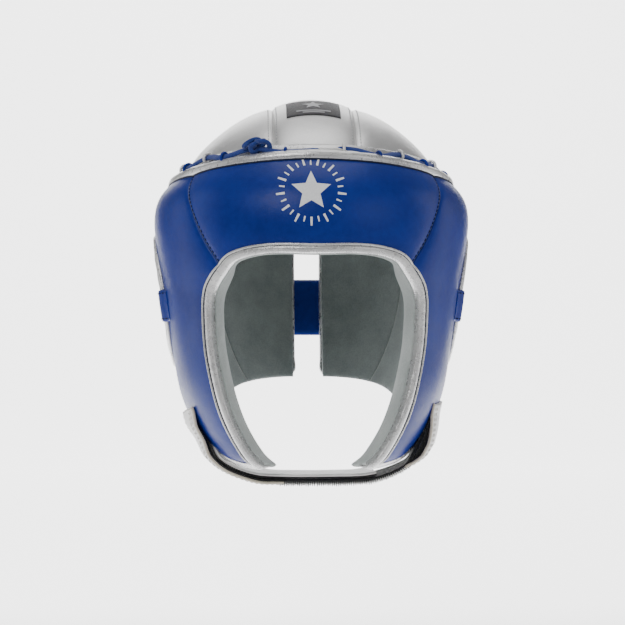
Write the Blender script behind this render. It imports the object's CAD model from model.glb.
import math
import random

import bmesh
import bpy
import numpy as np
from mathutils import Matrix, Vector
from mathutils.bvhtree import BVHTree


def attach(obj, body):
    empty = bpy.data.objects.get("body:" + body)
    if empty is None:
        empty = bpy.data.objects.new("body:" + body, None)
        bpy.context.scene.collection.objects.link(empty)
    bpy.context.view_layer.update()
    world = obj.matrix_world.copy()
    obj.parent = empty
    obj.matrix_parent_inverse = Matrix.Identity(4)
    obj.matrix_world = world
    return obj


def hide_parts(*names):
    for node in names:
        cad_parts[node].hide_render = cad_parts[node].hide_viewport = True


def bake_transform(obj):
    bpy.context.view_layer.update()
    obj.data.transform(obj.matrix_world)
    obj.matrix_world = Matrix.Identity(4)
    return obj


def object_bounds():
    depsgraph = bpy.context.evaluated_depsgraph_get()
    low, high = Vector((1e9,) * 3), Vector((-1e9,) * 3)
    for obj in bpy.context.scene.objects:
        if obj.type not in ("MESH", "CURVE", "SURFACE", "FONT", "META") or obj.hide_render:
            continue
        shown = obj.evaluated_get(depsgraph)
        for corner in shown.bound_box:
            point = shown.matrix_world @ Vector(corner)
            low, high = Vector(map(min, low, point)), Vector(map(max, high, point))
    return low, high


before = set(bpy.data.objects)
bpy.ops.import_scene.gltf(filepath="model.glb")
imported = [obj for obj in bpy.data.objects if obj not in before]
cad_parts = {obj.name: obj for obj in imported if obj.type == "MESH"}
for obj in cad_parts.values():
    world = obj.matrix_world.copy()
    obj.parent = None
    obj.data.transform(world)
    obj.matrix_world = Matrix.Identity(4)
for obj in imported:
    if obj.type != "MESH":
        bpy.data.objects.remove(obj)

CAD_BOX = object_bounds()
MM = 0.001
SIDES = (("left", 1), ("right", -1))  # the wearer's, and the sign of x there
rng = random.Random(11)

# =====================================================================================
# The head forms, in millimetres: height, half width, front, rear, where it is widest
# =====================================================================================
OUTER_FORM = [
    (-137.0, 38.0, -91.0, 2.0, -38.0), (-133.0, 52.0, -99.0, 18.0, -32.0),
    (-124.0, 66.0, -106.0, 40.0, -22.0), (-110.0, 77.0, -111.0, 62.0, -12.0),
    (-94.0, 85.0, -114.0, 80.0, -5.0), (-68.0, 91.0, -116.0, 95.0, 0.0),
    (-41.0, 95.0, -117.0, 106.0, 0.0), (-15.0, 98.8, -119.0, 114.0, 0.0),
    (8.0, 102.6, -121.0, 117.0, 0.0), (28.0, 104.5, -120.0, 115.0, 0.0),
    (42.0, 101.0, -115.0, 110.0, 0.0), (54.0, 91.5, -106.0, 101.0, 0.0),
    (64.0, 80.0, -95.0, 90.0, 0.0), (74.0, 62.0, -78.0, 76.0, 0.0),
]
HEAD_FORM = [
    (-137.0, 16.0, -70.0, -12.0, -38.0), (-133.0, 30.0, -80.0, 0.0, -32.0),
    (-124.0, 44.0, -88.0, 20.0, -22.0), (-110.0, 55.0, -94.0, 42.0, -12.0),
    (-94.0, 63.0, -97.0, 60.0, -5.0), (-68.0, 70.5, -98.0, 75.0, 0.0),
    (-41.0, 75.0, -98.0, 87.0, 0.0), (-15.0, 77.0, -98.0, 96.0, 0.0),
    (8.0, 77.0, -98.0, 98.0, 0.0), (28.0, 73.7, -94.0, 94.0, 0.0),
    (45.0, 66.4, -84.5, 84.5, 0.0), (62.0, 53.3, -67.8, 67.8, 0.0),
]
EDGE = 1.5
RIM_Z, RIM_X, RIM_Y, RIM_TILT = 55.0, 90.0, 95.0, math.radians(7.0)
CROWN_GAP = 3.0
CROWN_OUT = (99.0, 114.0, 15.0, 93.0, 1.8)
CROWN_IN = (77.0, 98.0, 5.0, 79.0, 2.0)
STRIP = 27.0
OPENING = [
    (24.0, -160.0), (29.0, -147.0), (34.5, -134.0), (43.0, -123.0), (50.5, -110.0),
    (58.5, -91.0), (63.8, -72.0), (66.6, -58.0), (67.5, -45.0), (66.8, -30.0),
    (63.0, -14.5), (53.5, -3.8), (38.5, 0.9),
]
OPENING_TOP = 1.8
LOWER_EDGE = [
    (-150.0, -135.0), (-85.0, -135.0), (-55.0, -132.5), (-28.0, -121.0), (-2.0, -106.0),
    (24.0, -94.0), (52.0, -85.0), (90.0, -80.0), (150.0, -78.0),
]
FOREHEAD_SEAM = [(90.0, 61.0), (53.0, 55.0), (38.0, 48.5), (22.0, 42.5), (6.0, 37.0),
                 (-4.0, 33.0), (-30.0, 26.0)]
WING_Y, WING_SPLIT = 52.0, 9.0
EAR_Y, EAR_Z = 13.0, -27.0
EAR_HOLE, EAR_RING = (20.0, 27.0), (31.5, 43.0)
BAND_Y, BAND_Z = (-27.0, 51.0), (-40.5, -19.5)
STRAP_Y, STRAP_TOP, INNER_END = (-52.0, -12.0), -96.0, 42.0


# =====================================================================================
# Geometry helpers
# =====================================================================================
def natural(xs, ys):
    """A smooth curve through points, as a function."""
    xs, ys = np.asarray(xs, float), np.asarray(ys, float)
    n, h = len(xs), np.diff(xs)
    a, b = np.zeros((n, n)), np.zeros(n)
    a[0, 0] = a[-1, -1] = 1
    for i in range(1, n - 1):
        a[i, i - 1], a[i, i], a[i, i + 1] = h[i - 1], 2 * (h[i - 1] + h[i]), h[i]
        b[i] = 6 * ((ys[i + 1] - ys[i]) / h[i] - (ys[i] - ys[i - 1]) / h[i - 1])
    m = np.linalg.solve(a, b)

    def at(x):
        x = np.clip(x, xs[0], xs[-1])
        i = np.clip(np.searchsorted(xs, x) - 1, 0, n - 2)
        left, right = xs[i + 1] - x, x - xs[i]
        bend = (m[i] * left**3 + m[i + 1] * right**3) / (6 * h[i])
        return (bend + (ys[i] / h[i] - m[i] * h[i] / 6) * left
                + (ys[i + 1] / h[i] - m[i + 1] * h[i] / 6) * right)

    return at


def solve(f, low, high, steps=40):
    """Where f changes sign between low and high, for whole arrays."""
    low, high = np.array(low, float), np.array(high, float)
    sign = np.sign(f(low))
    for _ in range(steps):
        mid = (low + high) / 2
        same = np.sign(f(mid)) == sign
        low, high = np.where(same, mid, low), np.where(same, high, mid)
    return (low + high) / 2


def unit(v):
    return v / np.maximum(np.linalg.norm(v, axis=-1, keepdims=True), 1e-12)


class Form:
    """A head form. A place on it is an angle from the front and a height."""

    def __init__(self, rows):
        rows = np.array(rows)
        self.low, self.high = rows[0, 0], rows[-1, 0]
        self.columns = [natural(rows[:, 0], rows[:, k]) for k in range(1, 5)]

    def level(self, z):
        return [c(z) for c in self.columns]

    def point(self, a, z):
        w, f, r, m = self.level(z)
        c = np.cos(a)
        reach = np.where(c > 0, m - f, r - m)
        return np.stack([w * np.sin(a), m - reach * c, z + 0 * a], -1)

    def normal(self, a, z):
        da, dz = 2e-3, 0.2
        z = np.clip(z, self.low + dz, self.high - dz)
        along = self.point(a + da, z) - self.point(a - da, z)
        up = self.point(a, z + dz) - self.point(a, z - dz)
        return unit(np.cross(along, up))

    def on(self, a, z, lift=0.0):
        return self.point(a, z) + self.normal(a, z) * np.asarray(lift)[..., None]

    def shares(self, y, z):
        """The half width at a height, and how far forward y is as a share of the reach."""
        w, f, r, m = self.level(z)
        depth = m - y
        return w, depth / np.where(depth > 0, m - f, r - m)

    def angle(self, p):
        w, depth = self.shares(p[..., 1], p[..., 2])
        return np.arctan2(p[..., 0] / w, depth)

    def outside(self, p):
        w, depth = self.shares(p[..., 1], p[..., 2])
        return (p[..., 0] / w) ** 2 + depth ** 2 - 1

    def near(self, p, lift):
        """The place on the form at p's height and direction, lifted."""
        return self.on(self.angle(p), p[..., 2], lift)

    def side(self, y, z):
        """The angle of the place with that y, on the wearer's left."""
        return np.arccos(np.clip(self.shares(y, z)[1], -1, 1))


outer, inner = Form(OUTER_FORM), Form(HEAD_FORM)
hem_curve = natural([p[0] for p in LOWER_EDGE], [p[1] for p in LOWER_EDGE])
seam_z = [p[0] for p in FOREHEAD_SEAM][::-1]
seam_angle = natural(seam_z, [math.radians(p[1]) for p in FOREHEAD_SEAM][::-1])


def hem_line(y, by):
    slope = (hem_curve(y + 0.5) - hem_curve(y - 0.5)) / 1.0
    return hem_curve(y) + by * np.sqrt(1 + slope**2)


def cone_side(p, by):
    y, z = p[..., 1], p[..., 2] - (RIM_Z - by * math.sqrt(2))
    y, z = (y * math.cos(RIM_TILT) - z * math.sin(RIM_TILT),
            y * math.sin(RIM_TILT) + z * math.cos(RIM_TILT))
    return np.hypot(p[..., 0] / (RIM_X + z), y / (RIM_Y + z)) - 1


def rim_z(form, a, by):
    return solve(lambda z: cone_side(form.point(a, z), by), 18 + 0 * a, form.high - 1 + 0 * a)


def hem_z(form, a, by):
    return solve(lambda z: z - hem_line(form.point(a, z)[..., 1], by),
                 form.low + 0 * a, -55 + 0 * a)


def opening_lines(by, n=721):
    """Matching points of the opening's outline in front of the face and behind it."""
    ends = []
    for wider, y in ((16.0, -140.0), (-23.0, -20.0)):
        half = [(x + wider * min(1, max(0, (2 - z) / 16)), z) for x, z in OPENING]
        points = np.array([(-x, z) for x, z in half] + [(0, OPENING_TOP)] + half[::-1], float)
        along = np.gradient(points, axis=0)
        along = unit(along)
        points = points + by * np.stack([-along[:, 1], along[:, 0]], 1)
        s = lengths(points)
        s /= s[-1]
        t = np.linspace(0, 1, n)
        x, z = natural(s, points[:, 0])(t), natural(s, points[:, 1])(t)
        ends.append(np.stack([x, np.full(n, y), z], 1))
    return ends


def opening_places(form, by):
    front, back = opening_lines(by)
    far = np.full(len(front), 0.62 if form is outer else 0.86)
    lam = solve(lambda s: form.outside(front + s[:, None] * (back - front)), 0 * far, far)
    return front + lam[:, None] * (back - front)


def lengths(points):
    """The length along a polyline, up to each of its points."""
    return np.concatenate([[0], np.cumsum(np.linalg.norm(np.diff(points, axis=0), axis=1))])


def along_line(at, d, values):
    """The values that go with the points of a polyline, at a length along it."""
    return np.array([np.interp(at, d, values[:, i]) for i in range(3)])


def spaced(points, n):
    """n rows evenly spaced along a polyline."""
    d = lengths(points[:, :3])
    t = np.linspace(0, d[-1], n)
    return np.stack([np.interp(t, d, points[:, k]) for k in range(points.shape[1])], 1)


def az_of(form, points):
    return np.stack([form.angle(points), points[:, 2]], 1)


def spaced_az(form, az, n):
    p = form.point(az[:, 0], az[:, 1])
    return spaced(np.concatenate([p, az], 1), n)[:, 3:]


def coons(bottom, top, left, right):
    """A grid between four boundary curves. Rows run along v, columns along u."""
    u = np.linspace(0, 1, len(bottom))[None, :, None]
    v = np.linspace(0, 1, len(left))[:, None, None]
    ruled = (1 - v) * bottom[None] + v * top[None] + (1 - u) * left[:, None] + u * right[:, None]
    corners = ((1 - u) * (1 - v) * bottom[0] + u * (1 - v) * bottom[-1]
               + (1 - u) * v * top[0] + u * v * top[-1])
    return ruled - corners


def edge_distances(points):
    """How far each grid point is from the left, right, bottom and top edge."""
    du = np.linalg.norm(np.diff(points, axis=1), axis=2)
    dv = np.linalg.norm(np.diff(points, axis=0), axis=2)
    left = np.concatenate([np.zeros((len(points), 1)), np.cumsum(du, 1)], 1)
    bottom = np.concatenate([np.zeros((1, points.shape[1])), np.cumsum(dv, 0)], 0)
    return left, left[:, -1:] - left, bottom, bottom[-1:] - bottom


def ripple(p, scale, seed):
    """A smooth, repeatable unevenness between about -1 and 1."""
    r = random.Random(seed)
    total = np.zeros(p.shape[:-1])
    for _ in range(7):
        k = np.array([r.uniform(-1, 1) for _ in range(3)])
        k = k / np.linalg.norm(k) * r.uniform(0.6, 1.6) * 2 * math.pi / scale
        total += np.sin(p @ k + r.uniform(0, 6.3))
    return total / 4


# =====================================================================================
# Mesh helpers
# =====================================================================================
made = {}


def new_mesh(name, verts, faces, mats, index=None, smooth=True, body=None):
    mesh = bpy.data.meshes.new(name)
    mesh.from_pydata((np.asarray(verts) * MM).tolist(), [], [list(map(int, f)) for f in faces])
    for m in mats if isinstance(mats, (list, tuple)) else [mats]:
        mesh.materials.append(m)
    if index is not None:
        mesh.polygons.foreach_set("material_index", np.asarray(index, np.int32))
    mesh.polygons.foreach_set("use_smooth", [smooth] * len(mesh.polygons))
    mesh.validate()
    mesh.update()
    obj = bpy.data.objects.new(name, mesh)
    bpy.context.scene.collection.objects.link(obj)
    if body:
        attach(obj, body)
    made[name] = obj
    return obj


def grid_faces(rows, columns, start=0, wrap_u=False, wrap_v=False, flip=False):
    faces = []
    for i in range(rows if wrap_v else rows - 1):
        for j in range(columns if wrap_u else columns - 1):
            a = start + i * columns + j
            b = start + i * columns + (j + 1) % columns
            c = start + ((i + 1) % rows) * columns + (j + 1) % columns
            d = start + ((i + 1) % rows) * columns + j
            faces.append((a, d, c, b) if flip else (a, b, c, d))
    return faces


def apply_all(obj):
    """Applies the modifiers of a piece."""
    graph = bpy.context.evaluated_depsgraph_get()
    mesh = bpy.data.meshes.new_from_object(obj.evaluated_get(graph))
    obj.modifiers.clear()
    old = obj.data
    obj.data = mesh
    bpy.data.meshes.remove(old)
    mesh.polygons.foreach_set("use_smooth", [True] * len(mesh.polygons))
    return obj


def tree_of(*objs):
    verts, faces = [], []
    for o in objs:
        start = len(verts)
        verts += [v.co.copy() for v in o.data.vertices]
        faces += [[start + i for i in p.vertices] for p in o.data.polygons]
    return BVHTree.FromPolygons(verts, faces)


def drop(tree, points, normals, lift=0.0, reach=14.0):
    """Moves points along their normals onto a mesh, then lifts them."""
    out, facing = [], []
    for p, n in zip(np.asarray(points), np.asarray(normals)):
        start = Vector((p + n * reach) * MM)
        hit, hit_normal, _, _ = tree.ray_cast(start, Vector(-n), 2.2 * reach * MM)
        if hit is None:
            out.append(p + n * lift)
            facing.append(n)
        else:
            q = np.array(hit_normal)
            q = q if q @ n > 0 else -q
            out.append(np.array(hit) / MM + q * lift)
            facing.append(q)
    return np.array(out), np.array(facing)


def closed_grid(name, top, under, mats, body, wall_rows=3, kinds=(0, 1, 1)):
    """A closed pad between two matching grids: outside, inside and the walls between."""
    rows, columns = top.shape[:2]
    count = rows * columns
    verts = [top.reshape(-1, 3), under.reshape(-1, 3)]
    faces = grid_faces(rows, columns) + grid_faces(rows, columns, count, flip=True)
    kind = [kinds[0]] * ((rows - 1) * (columns - 1)) + [kinds[1]] * ((rows - 1) * (columns - 1))
    rim = ([(0, j) for j in range(columns)] + [(i, columns - 1) for i in range(1, rows)]
           + [(rows - 1, j) for j in range(columns - 2, -1, -1)]
           + [(i, 0) for i in range(rows - 2, 0, -1)])
    ring = np.array([i * columns + j for i, j in rim])
    rings = [ring]
    start = 2 * count
    flat_top, flat_under = verts[0], verts[1]
    for k in range(1, wall_rows + 1):
        t = k / (wall_rows + 1)
        verts.append(flat_top[ring] * (1 - t) + flat_under[ring] * t)
        rings.append(np.arange(start, start + len(ring)))
        start += len(ring)
    rings.append(ring + count)
    n = len(ring)
    for a, b in zip(rings, rings[1:]):
        for i in range(n):
            j = (i + 1) % n
            faces.append((a[i], b[i], b[j], a[j]))
            kind.append(kinds[2])
    return new_mesh(name, np.concatenate(verts), faces, mats, kind, body=body)


def swept(name, sections, mats, body=None, closed=False):
    """A closed solid through matching closed sections (count, around, 3)."""
    count, around = sections.shape[:2]
    verts = sections.reshape(-1, 3)
    faces = grid_faces(count, around, wrap_u=True, wrap_v=closed)
    if not closed:
        faces.append(list(range(around))[::-1])
        faces.append([(count - 1) * around + k for k in range(around)])
    return new_mesh(name, verts, faces, mats, body=body)


def fix_normals(obj):
    bm = bmesh.new()
    bm.from_mesh(obj.data)
    bmesh.ops.recalc_face_normals(bm, faces=bm.faces)
    bm.to_mesh(obj.data)
    bm.free()
    return obj


def catmull(points, per, closed=False):
    """A smooth line through a few points."""
    p = np.asarray(points, float)
    n = len(p)
    out = []
    for i in range(n if closed else n - 1):
        if closed:
            a, b, c, d = p[(i - 1) % n], p[i], p[(i + 1) % n], p[(i + 2) % n]
        else:
            a, b = p[max(i - 1, 0)], p[i]
            c, d = p[i + 1], p[min(i + 2, n - 1)]
        for t in np.linspace(0, 1, per, endpoint=False):
            out.append(0.5 * (2 * b + (c - a) * t + (2 * a - 5 * b + 4 * c - d) * t * t
                              + (3 * b - a - 3 * c + d) * t**3))
    if not closed:
        out.append(p[-1])
    return np.array(out)


def tube(name, line, radius, mats, body=None, closed=False, around=12, squash=1.0, up=None):
    """A round or oval tube along a line."""
    line = np.asarray(line, float)
    tangent = unit(np.gradient(line, axis=0))
    if closed:
        tangent = unit(np.roll(line, -1, 0) - np.roll(line, 1, 0))
    if up is None:
        side = [unit(np.cross(tangent[0], [0.3, 0.2, 0.93]))]
        for t in tangent[1:]:
            s = side[-1] - t * (side[-1] @ t)
            side.append(unit(s))
        side = np.array(side)
    else:
        side = unit(np.cross(tangent, up))
    other = unit(np.cross(tangent, side))
    radius = np.broadcast_to(radius, (len(line),))
    t = np.linspace(0, 2 * math.pi, around, endpoint=False)
    ring = (np.cos(t)[None, :, None] * side[:, None] + squash * np.sin(t)[None, :, None]
            * other[:, None]) * radius[:, None, None]
    sections = line[:, None] + ring
    if not closed:
        ends = []
        for i, s in ((0, 1), (-1, -1)):
            for k in (0.82, 0.45):
                off = math.sqrt(1 - k * k) * radius[i] * -s
                ends.append((i, (line[i] + tangent[i] * off) + ring[i] * k))
        sections = np.concatenate([ends[1][1][None], ends[0][1][None], sections,
                                   ends[2][1][None], ends[3][1][None]])
    return fix_normals(swept(name, sections, mats, body, closed))


def stitches(name, line, normals, mat, body, pitch=4.0, length=2.7, radius=0.36, sink=0.1,
             jitter=0.1):
    """A row of sewn stitches along a line on a surface, each a small rounded thread."""
    d = lengths(line)
    count = max(2, int(d[-1] / pitch))
    verts, faces = [], []
    around = 6
    shape = [(-0.5, 0.30), (-0.42, 0.8), (-0.15, 1.0), (0.15, 1.0), (0.42, 0.8), (0.5, 0.30)]
    for k in range(count):
        mid = (k + 0.5) * d[-1] / count
        n = along_line(mid, d, normals)
        n = n / np.linalg.norm(n)
        size = length * (1 + jitter * rng.uniform(-1, 1))
        start = len(verts)
        for t, r in shape:
            at = mid + t * size
            p, q, o = [along_line(at + by, d, line) for by in (0, 0.3, -0.3)]
            along = (q - o) / max(np.linalg.norm(q - o), 1e-9)
            side = np.cross(n, along)
            side /= max(np.linalg.norm(side), 1e-9)
            dip = (abs(t) / 0.5) ** 3 * 0.45 * radius
            for j in range(around):
                a = 2 * math.pi * j / around
                verts.append(p + n * (radius * 0.5 - sink - dip + radius * r * math.sin(a))
                             + side * radius * 1.15 * r * math.cos(a))
        rows = len(shape)
        faces += grid_faces(rows, around, start, wrap_u=True)
        faces.append([start + j for j in range(around)][::-1])
        faces.append([start + (rows - 1) * around + j for j in range(around)])
    return fix_normals(new_mesh(name, np.array(verts), faces, mat, body=body))


def sew(name, tree, line, normals, mat, body, slot, pitch=4.0, length=2.7):
    """A row of stitches laid onto a mesh."""
    line, normals = drop(tree, line, normals, 0.0)
    thread = stitches(name, line, normals, mat, body, pitch, length)
    return thread


# =====================================================================================
# Materials
# =====================================================================================
class Nodes:
    def __init__(self, name):
        self.material = bpy.data.materials.new(name)
        self.material.use_nodes = True
        self.tree = self.material.node_tree
        self.shader = self.tree.nodes["Principled BSDF"]
        self.place = self.add("ShaderNodeTexCoord").outputs["Object"]

    def add(self, kind, **settings):
        node = self.tree.nodes.new(kind)
        for key, value in settings.items():
            setattr(node, key, value)
        return node

    def wire(self, a, b):
        self.tree.links.new(a, b)

    def noise(self, scale, detail=3.0, rough=0.55, distortion=0.0, stretch=None):
        node = self.add("ShaderNodeTexNoise")
        node.inputs["Scale"].default_value = scale
        node.inputs["Detail"].default_value = detail
        node.inputs["Roughness"].default_value = rough
        node.inputs["Distortion"].default_value = distortion
        place = self.place
        if stretch:
            mapping = self.add("ShaderNodeMapping")
            mapping.inputs["Scale"].default_value = stretch
            self.wire(place, mapping.inputs["Vector"])
            place = mapping.outputs["Vector"]
        self.wire(place, node.inputs["Vector"])
        return node.outputs["Fac"]

    def cells(self, scale, feature="F1", randomness=1.0):
        node = self.add("ShaderNodeTexVoronoi", feature=feature)
        node.inputs["Scale"].default_value = scale
        node.inputs["Randomness"].default_value = randomness
        self.wire(self.place, node.inputs["Vector"])
        return node.outputs["Distance"]

    def math(self, operation, a, b=None):
        node = self.add("ShaderNodeMath", operation=operation)
        for socket, value in zip(node.inputs, (a, b)):
            if value is None:
                continue
            if isinstance(value, (int, float)):
                socket.default_value = value
            else:
                self.wire(value, socket)
        return node.outputs[0]

    def ramp(self, value, stops):
        node = self.add("ShaderNodeValToRGB")
        ramp = node.color_ramp
        while len(ramp.elements) < len(stops):
            ramp.elements.new(0.5)
        for element, (at, color) in zip(ramp.elements, stops):
            element.position = at
            c = color if isinstance(color, (tuple, list)) else (color,) * 3
            element.color = (*c[:3], 1)
        self.wire(value, node.inputs["Fac"])
        return node.outputs["Color"]

    def mix(self, factor, a, b):
        node = self.add("ShaderNodeMix", data_type="RGBA")
        for socket, value in zip((node.inputs[0], node.inputs[6], node.inputs[7]),
                                 (factor, a, b)):
            if isinstance(value, (int, float)):
                socket.default_value = value
            elif isinstance(value, tuple):
                socket.default_value = (*value, 1)
            else:
                self.wire(value, socket)
        return node.outputs[2]

    def bump(self, height, strength, distance, after=None):
        node = self.add("ShaderNodeBump")
        node.inputs["Strength"].default_value = strength
        node.inputs["Distance"].default_value = distance
        self.wire(height, node.inputs["Height"])
        if after is not None:
            self.wire(after, node.inputs["Normal"])
        return node.outputs["Normal"]

    def set(self, **values):
        for key, value in values.items():
            socket = self.shader.inputs[key.replace("_", " ")]
            if isinstance(value, (int, float)):
                socket.default_value = value
            elif isinstance(value, tuple):
                socket.default_value = (*value, 1)
            else:
                self.wire(value, socket)
        return self


def leather(name, dark, light, rough=(0.3, 0.44), metal=0.0, grain=0.16, scale=620.0,
            wrinkle=0.25, specular=0.5):
    n = Nodes(name)
    broad = n.noise(22, 4, 0.6, 0.4)
    fine = n.noise(260, 3)
    tint = n.math("ADD", n.math("MULTIPLY", broad, 0.7), n.math("MULTIPLY", fine, 0.3))
    color = n.ramp(tint, [(0.36, dark), (0.64, light)])
    pores = n.cells(scale, "DISTANCE_TO_EDGE")
    pits = n.ramp(pores, [(0.0, 0.0), (0.22, 1.0)])
    color = n.mix(n.math("MULTIPLY", n.math("SUBTRACT", 1.0, pits), 0.16), color,
                  tuple(c * 0.55 for c in dark))
    height = n.math("ADD", pits, n.math("MULTIPLY", n.noise(1500, 2), 0.35))
    creases = n.noise(70, 4, 0.62, 1.3, (1, 1, 1.5))
    normal = n.bump(creases, wrinkle, 0.0012)
    normal = n.bump(height, grain, 0.00035, normal)
    shine = n.ramp(n.math("ADD", n.math("MULTIPLY", broad, 0.5),
                          n.math("MULTIPLY", fine, 0.5)), [(0.35, rough[0]), (0.65, rough[1])])
    n.set(Base_Color=color, Roughness=shine, Metallic=metal, Normal=normal)
    n.shader.inputs["Specular IOR Level"].default_value = specular
    return n.material


def suede(name, dark, light):
    n = Nodes(name)
    broad, fine = n.noise(45, 4, 0.6), n.noise(900, 3, 0.7)
    color = n.ramp(n.math("ADD", n.math("MULTIPLY", broad, 0.5),
                          n.math("MULTIPLY", fine, 0.5)), [(0.36, dark), (0.62, light)])
    normal = n.bump(n.noise(2200, 2), 0.5, 0.0003, n.bump(n.noise(300, 3), 0.3, 0.0006))
    n.set(Base_Color=color, Roughness=0.9, Normal=normal)
    n.shader.inputs["Sheen Weight"].default_value = 0.35
    n.shader.inputs["Sheen Roughness"].default_value = 0.5
    n.shader.inputs["Specular IOR Level"].default_value = 0.2
    return n.material


def woven(name, dark, light, scale=1100.0, rough=0.75, strength=0.6, sheen=0.2):
    n = Nodes(name)
    waves = []
    for direction in ("X", "Y", "Z"):
        wave = n.add("ShaderNodeTexWave", bands_direction=direction, wave_profile="SIN")
        wave.inputs["Scale"].default_value = scale / 6.28
        wave.inputs["Distortion"].default_value = 0.6
        n.wire(n.place, wave.inputs["Vector"])
        waves.append(wave.outputs["Fac"])
    weave = n.math("MULTIPLY", n.math("ADD", waves[0], waves[1]), 0.5)
    weave = n.math("ADD", n.math("MULTIPLY", weave, 0.6), n.math("MULTIPLY", waves[2], 0.4))
    color = n.ramp(n.math("ADD", n.math("MULTIPLY", weave, 0.7),
                          n.math("MULTIPLY", n.noise(60), 0.3)), [(0.3, dark), (0.75, light)])
    n.set(Base_Color=color, Roughness=rough, Normal=n.bump(weave, strength, 0.0004))
    n.shader.inputs["Sheen Weight"].default_value = sheen
    n.shader.inputs["Specular IOR Level"].default_value = 0.3
    return n.material


def tape(name, dark, light, scale, strength):
    n = Nodes(name)
    bumps = n.cells(scale, "F1", 0.75)
    color = n.ramp(bumps, [(0.1, light), (0.55, dark)])
    n.set(Base_Color=color, Roughness=0.8,
          Normal=n.bump(n.math("SUBTRACT", 1.0, bumps), strength, 0.0008))
    n.shader.inputs["Sheen Weight"].default_value = 0.3
    return n.material


BLUE = leather("blue_leather", (0.0025, 0.018, 0.20), (0.004, 0.027, 0.27), (0.29, 0.38),
               grain=0.12, wrinkle=0.10, scale=900, specular=0.22)
SILVER = leather("silver_leather", (0.60, 0.60, 0.605), (0.80, 0.795, 0.79), (0.22, 0.34),
                 metal=0.68, grain=0.2, wrinkle=0.22, scale=760)
CROWN = leather("crown_leather", (0.70, 0.70, 0.70), (0.80, 0.795, 0.79), (0.28, 0.38),
                metal=0.62, grain=0.14, wrinkle=0.10, scale=760)
WHITE = leather("white_leather", (0.78, 0.76, 0.74), (0.88, 0.87, 0.86), (0.38, 0.5),
                grain=0.16, wrinkle=0.2)
CREAM = suede("cut_edge", (0.62, 0.54, 0.42), (0.78, 0.72, 0.60))
SUEDE = suede("suede_lining", (0.36, 0.40, 0.39), (0.52, 0.56, 0.545))
INSIDE = suede("inner_lining", (0.20, 0.23, 0.23), (0.30, 0.335, 0.33))
LACE = woven("lace_weave", (0.012, 0.03, 0.17), (0.03, 0.07, 0.34), 2600)
HOOK = tape("hook_tape", (0.004, 0.004, 0.005), (0.03, 0.03, 0.034), 900, 1.0)
LOOP = tape("loop_tape", (0.006, 0.006, 0.007), (0.05, 0.05, 0.055), 1400, 0.7)
THREAD = woven("blue_thread", (0.001, 0.004, 0.03), (0.003, 0.009, 0.06), 4000, 0.8, 0.3, 0.0)
PALE_THREAD = woven("pale_thread", (0.62, 0.60, 0.56), (0.82, 0.80, 0.76), 4000, 0.6, 0.3)
GREY_THREAD = woven("grey_thread", (0.42, 0.42, 0.43), (0.62, 0.62, 0.63), 4000, 0.6, 0.3)
PRINT = leather("white_print", (0.86, 0.87, 0.89), (0.93, 0.94, 0.95), (0.34, 0.44), grain=0.1,
                wrinkle=0.05)
LABEL = woven("label_weave", (0.012, 0.011, 0.014), (0.035, 0.033, 0.04), 3200, 0.55, 0.4)
LABEL_MARK = woven("label_mark", (0.42, 0.42, 0.44), (0.62, 0.62, 0.64), 3200, 0.6, 0.4)
GROOVE = suede("seam_shadow", (0.004, 0.008, 0.03), (0.01, 0.015, 0.05))

# =====================================================================================
# Headband pads
# =====================================================================================
NU_SIDE, NV_LOW, NV_SEAM = 96, 92, 38
NU_BROW, NV_BROW = 120, 46
NU_WING, NV_WING = 52, 72


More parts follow.
